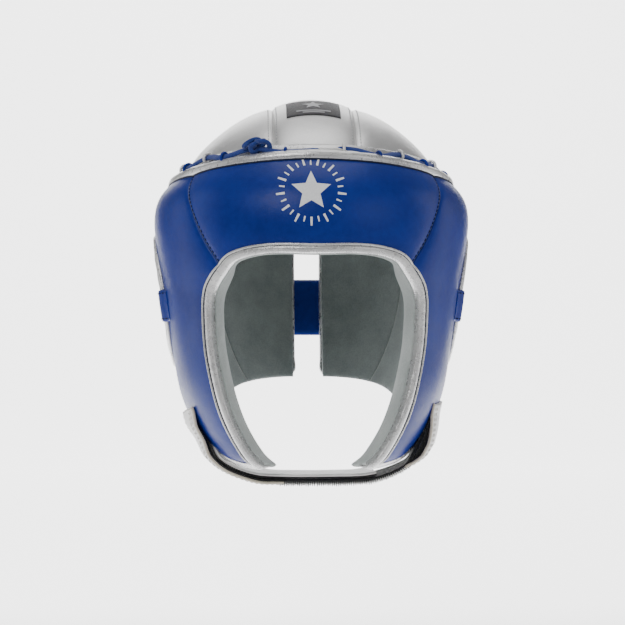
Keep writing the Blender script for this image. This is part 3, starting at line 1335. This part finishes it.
# ---- label ------------------------------------------------------------------------------
LABEL_X, LABEL_Y = 17.5, (-56.5, -24.5)
us, vs = np.linspace(-1, 1, 37), np.linspace(0, 1, 33)
xx, yy = np.meshgrid(us * LABEL_X, LABEL_Y[0] + vs * (LABEL_Y[1] - LABEL_Y[0]))
base, n = dome_point(CROWN_OUT, xx, yy)
base, n = drop(crown_tree, base.reshape(-1, 3), n.reshape(-1, 3), 0.0)
lift = 0.75 - 0.35 * np.maximum(np.abs(xx) / LABEL_X, np.abs(vs[:, None] * 2 - 1)) ** 12
top = (base + n * lift.reshape(-1, 1)).reshape(33, 37, 3)
low = (base - n * 0.5).reshape(33, 37, 3)
label = fix_normals(closed_grid("crown_woven_label", top, low, [LABEL], "headgear",
                                kinds=(0, 0, 0)))
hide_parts("crown_label")
label_tree = tree_of(label)


def flat_shape(name, outlines, place, mat, body, height=0.18, sink=0.25):
    """Thin raised shapes: each closed 2-D outline is put on a surface by place(points)."""
    verts, faces = [], []
    for outline in outlines:
        outline = np.asarray(outline, float)
        middle, count = outline.mean(0), len(outline)
        rings = [middle + (outline - middle) * k for k in (1.0, 0.75, 0.5, 0.25)]
        pts, n = place(np.concatenate(rings + [middle[None]]))
        start, size = len(verts), len(pts)
        verts += list(pts + n * height) + list(pts - n * sink)
        for low in (0, size):
            for r in range(3):
                for i in range(count):
                    j = (i + 1) % count
                    quad = [r * count + i, r * count + j, (r + 1) * count + j,
                            (r + 1) * count + i]
                    faces.append([start + low + k for k in quad])
            for i in range(count):
                fan = (3 * count + i, 3 * count + (i + 1) % count, 4 * count)
                faces.append([start + low + k for k in fan])
        for i in range(count):
            j = (i + 1) % count
            faces.append([start + k for k in (i, size + i, size + j, j)])
    obj = fix_normals(new_mesh(name, np.array(verts), faces, mat, smooth=False, body=body))
    return obj


def star(cx, cy, r, inner_share=0.42):
    """A five-pointed star."""
    out = []
    for k in range(10):
        a = math.pi / 2 + math.pi * k / 5
        q = r if k % 2 == 0 else r * inner_share
        out.append((cx + q * math.cos(a), cy + q * math.sin(a)))
    return divided(out, 1.5)


def divided(outline, step):
    """More points along a closed outline, so that it can follow a curved surface."""
    out = []
    for a, b in zip(outline, outline[1:] + outline[:1]):
        n = max(1, int(math.dist(a, b) / step))
        out += [(a[0] + (b[0] - a[0]) * k / n, a[1] + (b[1] - a[1]) * k / n) for k in range(n)]
    return out


def bar(cx, cy, w, h):
    return divided([(cx - w / 2, cy - h / 2), (cx + w / 2, cy - h / 2), (cx + w / 2, cy + h / 2),
                    (cx - w / 2, cy + h / 2)], 2.0)


def on_label(points):
    x, y = points[:, 0], (LABEL_Y[0] + LABEL_Y[1]) / 2 + points[:, 1]
    base, n = dome_point(CROWN_OUT, x, y)
    return drop(label_tree, base, n, 0.0)


marks = [star(0, 2.0, 7.5), bar(0, -9.5, 22, 1.3), bar(0, -12.2, 14, 1.1), bar(0, 12.4, 22, 1.3)]
flat_shape("crown_label_mark", marks, on_label, LABEL_MARK, "headgear", 0.12)

# =====================================================================================
# Lace in the groove
# =====================================================================================
LACE_FIRST, LACE_LAST, LACE_TURNS, LACE_SWING = 14.0, 104.0, 8, 5.0
LACE_IN, GROOVE_SLOPE = 2.5, math.radians(45)


def groove_point(degrees, across, lift):
    a = math.radians(degrees)
    out = across * math.cos(GROOVE_SLOPE) + lift * math.sin(GROOVE_SLOPE) - LACE_IN
    up = lift * math.cos(GROOVE_SLOPE) - across * math.sin(GROOVE_SLOPE)
    x, y = (RIM_X + out) * math.sin(a), -(RIM_Y + out) * math.cos(a)
    return np.array([x, y * math.cos(RIM_TILT) + up * math.sin(RIM_TILT),
                     RIM_Z - y * math.sin(RIM_TILT) + up * math.cos(RIM_TILT)])


steps = np.linspace(LACE_FIRST, LACE_LAST, LACE_TURNS)
angles = [-a for a in steps[::-1]] + list(steps)
rise = [3.6 if -45 < a < -15 else (2.8 if a < 0 else 1.8) for a in angles]
route = np.array([groove_point(a, LACE_SWING * (1 if i % 2 else -1), rise[i])
                  for i, a in enumerate(angles)])
mids = (route[:-1] + route[1:]) / 2
lace_line = [route[0]]
for i in range(len(mids) - 1):
    a, b, c = mids[i], route[i + 1], mids[i + 1]
    for t in np.linspace(0, 1, 14, endpoint=False):
        lace_line.append((1 - t) ** 2 * a + 2 * t * (1 - t) * b + t * t * c)
lace_line.append(mids[-1])
lace_line.append(route[-1])
lace_line = spaced(np.array(lace_line), 460)
out_dir = unit(lace_line * np.array([1, 1, 0]) + np.array([0, 0, 60.0]))
lace = tube("crown_lace_cord", lace_line, 2.0, [LACE], "headgear", around=16, squash=0.5,
            up=out_dir)
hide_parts("crown_lace")
loop_objs = []
for i in range(1, len(route) - 1):
    apex = 0.25 * mids[i - 1] + 0.5 * route[i] + 0.25 * mids[i]
    tangent = unit(mids[i] - mids[i - 1])
    outwards = unit(apex * np.array([1, 1, 0]))
    lift = unit(outwards + np.array([0, 0, 1.0]))
    lift = unit(lift - tangent * (lift @ tangent))
    side = np.cross(tangent, lift)
    t = np.linspace(0, 2 * math.pi, 28, endpoint=False)
    line = (apex + np.cos(t)[:, None] * side * 3.4 + np.sin(t)[:, None] * lift * 2.8
            - lift * 0.5)
    loop = tube(f"lace_loop_{i}", line, 1.0, [BLUE if i % 2 else SILVER], "headgear",
                closed=True, around=10)
    loop_objs.append(loop)

# a knot where the lace is tied, over the right temple
knot_at = groove_point(-24.0, -4.0, 3.6)
knot_out = unit(knot_at * np.array([1, 1, 0]) + np.array([0, 0, 90.0]))
knot_along = unit(np.cross(knot_out, knot_at * np.array([1, 1, 0])))
knot_side = np.cross(knot_out, knot_along)
t = np.linspace(0, 2 * math.pi, 90, endpoint=False)
for k, (wide, tall, turn_by, shift) in enumerate(((5.4, 4.2, 0.25, -3.6), (4.6, 4.8, -0.35, 3.2),
                                                 (3.4, 3.0, 1.2, -1.0))):
    x = wide * np.cos(t) + shift
    z = tall * np.sin(t) + 1.6
    y = 1.5 * np.sin(2 * t + k) + turn_by * x
    line = (knot_at + x[:, None] * knot_along + y[:, None] * knot_side
            + z[:, None] * knot_out)
    loop = tube(f"lace_knot_{k}", line, 1.75, [LACE], "headgear", closed=True, around=14,
                squash=0.62, up=knot_side)

# =====================================================================================
# Brow emblem: a plain star in a ring of rays
# =====================================================================================
EMBLEM = (-3.5, 40.0)
forehead_tree = trees["forehead"]


def on_brow(points):
    x, z = EMBLEM[0] + points[:, 0], EMBLEM[1] + points[:, 1]
    a = np.arcsin(np.clip(x / outer.level(z)[0], -1, 1))
    p = outer.point(a, z)
    n = outer.normal(a, z)
    return drop(forehead_tree, p, n, 0.0)


shapes = [star(0, -0.5, 12.5, 0.46)]
for k in range(26):
    a = 2 * math.pi * (k + 0.5) / 26
    long = k % 2
    r0, r1 = 16.2, (21.5 if long else 19.6)
    w = 0.075 if long else 0.055
    shapes.append(divided([
        (r0 * math.cos(a - w * 0.6), r0 * math.sin(a - w * 0.6)),
        (r1 * math.cos(a - w * 0.35), r1 * math.sin(a - w * 0.35)),
        (r1 * math.cos(a + w * 0.35), r1 * math.sin(a + w * 0.35)),
        (r0 * math.cos(a + w * 0.6), r0 * math.sin(a + w * 0.6))], 1.6))
flat_shape("brow_emblem", shapes, on_brow, PRINT, "headgear", 0.16)

# =====================================================================================
# Chin straps
# =====================================================================================


def chin_path(y):
    """The jaw's line at one depth, down the left, under and up the right, and its normal."""
    zs = np.linspace(-60, outer.low, 90)
    w, depth = outer.shares(y, zs)
    x = w * np.sqrt(np.clip(1 - depth ** 2, 0.001, 1))
    side = np.stack([x, zs], 1)
    flat = np.stack([np.linspace(x[-1], 0, 24)[1:], np.full(23, outer.low)], 1)
    half = np.concatenate([side, flat])
    whole = np.concatenate([half, (half * np.array([-1, 1]))[::-1][1:]])
    for _ in range(12):
        whole[1:-1] = (whole[:-2] + 2 * whole[1:-1] + whole[2:]) / 4
    # the straps sag a little under the chin
    whole[:, 1] -= 2.0 * np.clip(1 - (whole[:, 0] / 62) ** 2, 0, 1)
    t = unit(np.gradient(whole, axis=0))
    normal = np.stack([-t[:, 1], t[:, 0]], 1)  # away from the jaw
    normal = normal * np.sign(np.sum(normal * (whole - np.array([0, -80.0])), 1))[:, None]
    return whole, normal


def strap_grid(ys, lift, left, right, n):
    """Points and normals of a strap's middle surface: (along, across, 3)."""
    columns, normals = [], []
    for y in ys:
        line, normal = chin_path(y)
        line3 = line + normal * lift
        half = len(line) // 2
        k = np.arange(len(line))
        start = left(y) if callable(left) else left
        end = right(y) if callable(right) else right
        ok = (k >= half) | (line3[:, 1] < start) if start < 0 else line3[:, 0] < start
        ok = ok & ((k < half) | (line3[:, 1] < end))
        data = np.concatenate([line3[ok], normal[ok]], 1)
        d = lengths(data[:, :2])
        t = np.linspace(0, d[-1], n)
        row = np.stack([np.interp(t, d, data[:, i]) for i in range(4)], 1)
        columns.append(np.stack([row[:, 0], np.full(n, y), row[:, 1]], 1))
        normals.append(np.stack([row[:, 2], np.zeros(n), row[:, 3]], 1))
    return np.array(columns).transpose(1, 0, 2), unit(np.array(normals).transpose(1, 0, 2))


def band_sections(points, normals, thick, crown=0.25):
    """Sections of a flat strap: its two faces with rounded edges."""
    count, across = points.shape[:2]
    share = np.linspace(-1, 1, across)
    edge = np.clip(1 - np.abs(share) ** 10, 0, 1) ** 0.5
    half = np.broadcast_to(np.asarray(thick, float) / 2, (count,))[:, None]
    body = half * (0.35 + 0.65 * edge)
    top = points + normals * (body + crown * (1 - share**2))[..., None]
    low = points - normals * body[..., None]
    return np.concatenate([top, low[:, ::-1]], 1)


def strap_piece(name, rows, ys, lift, thick, left, right, mats, n=150, crown=0.2, wavy=0.0,
                seed=0, off=None, narrow=0.0):
    points, normals = strap_grid(ys, lift, left, right, n)
    if off is not None:
        points = points + normals * off(points)[..., None]
    if narrow:
        share = (ys[-1] - points[..., 1]) / (ys[-1] - ys[0])
        points = points + (narrow * share * on_tab(points))[..., None] * np.array([0, 1, 0])
    elif narrow == 0.0 and thick == 2.3:  # under the chin the fuzzy tape hides its front edge
        share = (ys[-1] - points[..., 1]) / (ys[-1] - ys[0])
        under = (np.clip((points[..., 0] + 26) / 10, 0, 1)
                 * np.clip((66 - points[..., 0]) / 8, 0, 1))
        points = points + (1.8 * share * under)[..., None] * np.array([0, 1, 0])
    if wavy:
        points = points + normals * (ripple(points, 22.0, seed) * wavy)[..., None]
    points, normals = points[rows[0]:rows[1]], normals[rows[0]:rows[1]]
    size = thick(points[:, len(ys) // 2]) if callable(thick) else thick
    sections = band_sections(points, normals, size, crown)
    obj = fix_normals(swept(name, sections, mats))
    return obj, points, normals


def on_tab(points):
    """1 on the right cheek, where the strap's tip is pressed flat, 0 below it."""
    t = np.clip((points[..., 2] + 130) / 12, 0, 1) * (points[..., 0] < 0)
    return t * t * (3 - 2 * t)


STAND = [-140, -135, -131, -127, -120, -112, -104, -96, -80]
STAND_OFF = [0, 0, 1.6, 3.0, 2.2, -1.2, -4.4, -5.6, -5.8]
FUZZ = [1.1, 1.1, 4.6, 7.2, 7.4, 4.4, 1.2, 1.0, 1.0]


def fuzz(line):
    """The hook tape's thickness: it fills the space between the strap and the left cheek."""
    return np.where(line[..., 0] > 0, np.interp(line[..., 2], STAND, FUZZ), 1.1)


def stand_off(kind):
    """The sewn end lies on the left cheek and stands off it lower down."""
    def off(points):
        free = np.interp(points[..., 2], STAND, STAND_OFF) * (points[..., 0] > 0)
        if kind == "hook":
            free = free + 0.55 - fuzz(points) / 2
        flat = np.clip((points[..., 2] + 110) / 8, 0, 1) * (points[..., 0] < 0)
        return free - 2.6 * on_tab(points) - (1.7 * flat if kind == "leather" else 0)
    return off


def tab_top(y):
    return -98.0 - 6.0 * (y + 52) / 40


def ride_strap(obj, half):
    """Bends a strap piece at the hinge that its half has."""
    if half == "root":
        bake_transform(obj)
    else:
        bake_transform(obj)


N_STRAP = 150
HALF = N_STRAP // 2
for part, (lift, thick, y0, y1, top_l, top_r, mats, slot, narrow) in {
    "leather": (7.8, 2.3, STRAP_Y[0], STRAP_Y[1], STRAP_TOP, tab_top, [WHITE],
                "white_leather", 0.0),
    "hook": (6.1, fuzz, STRAP_Y[0] + 1.5, STRAP_Y[1] - 1.5, STRAP_TOP - 8, -108.0, [HOOK],
             "hook_loop", 6.0),
}.items():
    ys = np.linspace(y0, y1, 25)
    for half, rows in (("root", (0, HALF + 1)), ("tip", (HALF, N_STRAP))):
        obj, points, normals = strap_piece(f"chin_strap_{half}_{part}", rows, ys, lift, thick,
                                           top_l, top_r, mats, N_STRAP, wavy=0.18, seed=91,
                                           off=stand_off(part), narrow=narrow)
        if part == "leather":
            names = (["chin_strap_root"] if half == "root" else ["chin_strap", "chin_strap_tip"])
        else:
            names = (["chin_strap_root_hook"] if half == "root"
                     else ["chin_strap_hook", "chin_strap_tip_hook"])
        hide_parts(*names)
        ride_strap(obj, half)
        if part == "leather":
            tree = tree_of(obj)
            for edge, col in (("front", 2), ("second", 4), ("rear", -3)):
                thread = sew(f"chin_strap_{half}_{edge}_stitches", tree, points[1:-1, col],
                             normals[1:-1, col], PALE_THREAD, None, "white_leather", 3.4, 2.4)
                ride_strap(thread, half)
            # the cut edge of the leather along its front
            edge_line = points[:, 0] - np.array([0, 0.25, 0])
            edge_line = edge_line[edge_line[:, 0] > 60 if half == "root"
                                  else edge_line[:, 0] < -19]
            rim_cord = tube(f"chin_strap_{half}_cut_edge", edge_line, 0.95, [CREAM], around=10)
            ride_strap(rim_cord, half)
        else:
            # the hook tape's frayed selvedge: small teeth past the strap's front edge
            verts, faces = [], []
            base = points[:, 0]
            d = lengths(base)
            for k in range(int(d[-1] / 1.4)):
                at = (k + 0.5) * 1.4
                c = along_line(at, d, base)
                e = along_line(at + 0.45, d, base) - c
                nn = along_line(at, d, normals[:, 0])
                reach = np.array([0, -1.6 - 0.5 * rng.random(), 0]) + nn * rng.uniform(0.2, 0.7)
                if -22 < c[0] < 66:
                    reach = np.array([0, -1.7, 0]) + nn * rng.uniform(2.6, 3.4)
                s = len(verts)
                for q in (c - e, c + e, c + e * 0.7 + reach, c - e * 0.7 + reach):
                    verts += [q + nn * 0.35, q - nn * 0.35]
                faces += [(s, s + 2, s + 4, s + 6), (s + 1, s + 7, s + 5, s + 3),
                          (s, s + 1, s + 3, s + 2), (s + 2, s + 3, s + 5, s + 4),
                          (s + 4, s + 5, s + 7, s + 6), (s + 6, s + 7, s + 1, s)]
            teeth = fix_normals(new_mesh(f"chin_strap_{half}_selvedge", np.array(verts), faces,
                                         [HOOK], smooth=False))
            ride_strap(teeth, half)

for part, (lift, thick, y0, y1, mats, slot) in {
    "leather": (2.8, 1.9, STRAP_Y[0], STRAP_Y[1], [WHITE], "white_leather"),
    "loop": (4.35, 1.1, STRAP_Y[0] + 1.0, STRAP_Y[1] - 1.0, [LOOP], "hook_loop"),
}.items():
    ys = np.linspace(y0, y1, 21)
    obj, points, normals = strap_piece(f"inner_strap_{part}_band", (0, 110), ys, lift, thick,
                                       INNER_END - 0.3, -106.0, mats, 110, wavy=0.08,
                                       seed=95, off=lambda p: -1.95 * on_tab(p), narrow=7.0)
    names = (["inner_strap_root", "inner_strap"] if part == "leather"
             else ["inner_strap_loop_root", "inner_strap_loop"])
    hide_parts(*names)
    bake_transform(obj)

# =====================================================================================
# Rear closing strap
# =====================================================================================
REAR_Z = (-50.0, -10.0)


def rear_grid(x0, x1, lift, z0, z1, n_x=90, n_z=21):
    xs, zs = np.linspace(x0, x1, n_x), np.linspace(z0, z1, n_z)
    xx, zz = np.meshgrid(xs, zs, indexing="ij")
    w = outer.level(zz)[0]
    a = math.pi - np.arcsin(np.clip(xx / w, -1, 1))
    lifts = np.full(xx.shape, lift) if np.isscalar(lift) else lift(xx)
    return outer.on(a, zz, lifts), outer.normal(a, zz)


def rear_piece(name, x0, x1, lift, z0, z1, thick, mats, rounded=0.0, crown=0.15):
    p, n = rear_grid(x0, x1, lift, z0, z1)
    if rounded:  # rounds the far end's corners
        xs = np.linspace(x0, x1, 90)
        end = np.clip((rounded - np.abs(xs - x1)) / rounded, 0, 1)
        half = 1 - (1 - np.sqrt(np.clip(1 - end**2, 0, 1))) * rounded / ((z1 - z0) / 2)
        middle = p[:, 10:11]
        p = middle + (p - middle) * half[:, None, None]
    obj = fix_normals(swept(name, band_sections(p, n, thick, crown), mats))
    return obj, p, n


strap, points, normals = rear_piece("rear_strap_leather", 61.5, -57.8,
                                    lambda x: 4.2 - 1.5 * np.clip((x - 50) / 10, 0, 1),
                                    REAR_Z[0], REAR_Z[1], 2.3, [BLUE], 9.0)
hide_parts("rear_strap", "rear_strap_root")
tree = tree_of(strap)
for edge, col in (("upper", -3), ("lower", 2)):
    thread = sew(f"rear_strap_{edge}_stitches", tree, points[3:-6, col], normals[3:-6, col],
                 THREAD, None, "blue_leather", 3.6, 2.5)
    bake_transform(thread)
for k, row in enumerate((4, 13)):
    sew(f"rear_strap_end_stitches_{k}", tree, points[row, 3:-3], normals[row, 3:-3], THREAD,
        "rear_wing_left", "blue_leather", 3.2, 2.3)
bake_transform(strap)
foot, _, _ = rear_piece("rear_strap_sewn_end", 61.0, 47.0, 1.6, REAR_Z[0] + 0.5, REAR_Z[1] - 0.5,
                        2.4, [BLUE])
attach(foot, "rear_wing_left")
hooks, _, _ = rear_piece("rear_strap_hook_tape", -21.2, -53.8, 2.4, -48, -12, 1.1, [HOOK])
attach(hooks, "rear_strap")
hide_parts("rear_strap_hook")
loops, points, normals = rear_piece("rear_loop_tape", -18.2, -63.8, 0.9, -53, -7, 1.15, [LOOP])
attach(loops, "rear_wing_right")
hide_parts("rear_loop_patch")

# =====================================================================================
# Studio
# =====================================================================================


def studio():
    """A pale floor that curves up behind, soft light, and the camera."""
    # lowered for the open chin strap, whose tip still reaches 28 mm below it at its limit
    floor_z = CAD_BOX[0][2] - 0.13
    half_width = 0.95

    def sheet(name, profile):
        n = Nodes(name + "_white")
        n.set(Base_Color=n.ramp(n.noise(3), [(0.3, 0.9), (0.7, 0.93)]), Roughness=0.9)
        n.shader.inputs["Specular IOR Level"].default_value = 0.1
        n.shader.inputs["Emission Color"].default_value = (1, 1, 1, 1)
        apart = n.add("ShaderNodeSeparateXYZ")
        n.wire(n.place, apart.inputs[0])
        glow = n.add("ShaderNodeMapRange", interpolation_type="SMOOTHSTEP")
        for key, value in (("From Min", -0.25), ("From Max", 0.3), ("To Min", 0.12),
                           ("To Max", 3.2)):
            glow.inputs[key].default_value = value
        n.wire(apart.outputs["Y"], glow.inputs["Value"])
        n.wire(glow.outputs["Result"], n.shader.inputs["Emission Strength"])
        verts, faces = [], []
        for y, z in profile:
            verts += [(-half_width, y, floor_z + z), (half_width, y, floor_z + z)]
        for i in range(len(profile) - 1):
            faces.append((2 * i, 2 * i + 1, 2 * i + 3, 2 * i + 2))
        mesh = bpy.data.meshes.new(name)
        mesh.from_pydata(verts, [], faces)
        mesh.materials.append(n.material)
        for polygon in mesh.polygons:
            polygon.use_smooth = True
        obj = bpy.data.objects.new(name, mesh)
        bpy.context.scene.collection.objects.link(obj)

    sheet("studio_floor", [(-0.85, 0.0), (1.6, 0.0)]
          + [(1.6 + 0.9 * math.sin(t), 0.9 - 0.9 * math.cos(t))
             for t in np.linspace(0.1, math.pi / 2, 14)] + [(2.5, 2.5)])

    world = bpy.data.worlds.new("studio")
    bpy.context.scene.world = world
    world.use_nodes = True
    background = world.node_tree.nodes["Background"]
    background.inputs["Color"].default_value = (1, 1, 1, 1)
    background.inputs["Strength"].default_value = 0.22

    def area(name, place, target, size, power, size_y=None):
        light = bpy.data.lights.new(name, "AREA")
        light.energy, light.size = power, size
        if size_y:
            light.shape, light.size_y = "RECTANGLE", size_y
        obj = bpy.data.objects.new(name, light)
        obj.location = place
        obj.rotation_euler = (Vector(target) - Vector(place)).to_track_quat("-Z", "Y").to_euler()
        bpy.context.scene.collection.objects.link(obj)

    area("key", (-0.75, -1.35, 1.15), (0, 0, 0), 0.9, 14)
    area("fill", (1.1, -1.1, 0.5), (0, 0, 0), 0.9, 3.5)
    area("left_rim", (-1.25, 0.35, 0.1), (0, 0, 0), 0.6, 3, 1.4)
    area("right_rim", (1.25, 0.35, 0.1), (0, 0, 0), 0.6, 3, 1.4)
    area("top", (0.0, 0.1, 1.5), (0, 0, 0), 1.0, 7)

    camera = bpy.data.cameras.new("camera")
    camera.sensor_width = 36
    camera.lens = 110
    camera.clip_end = 50
    camera.shift_x = 0.0022
    obj = bpy.data.objects.new("camera", camera)
    target, distance, yaw = Vector((0.0, 0.0, -0.035)), 1.3, math.radians(-1.8)
    obj.location = target + distance * Vector((math.sin(yaw), -math.cos(yaw), 0))
    obj.rotation_euler = (target - obj.location).to_track_quat("-Z", "Y").to_euler()
    bpy.context.scene.collection.objects.link(obj)
    bpy.context.scene.camera = obj


studio()
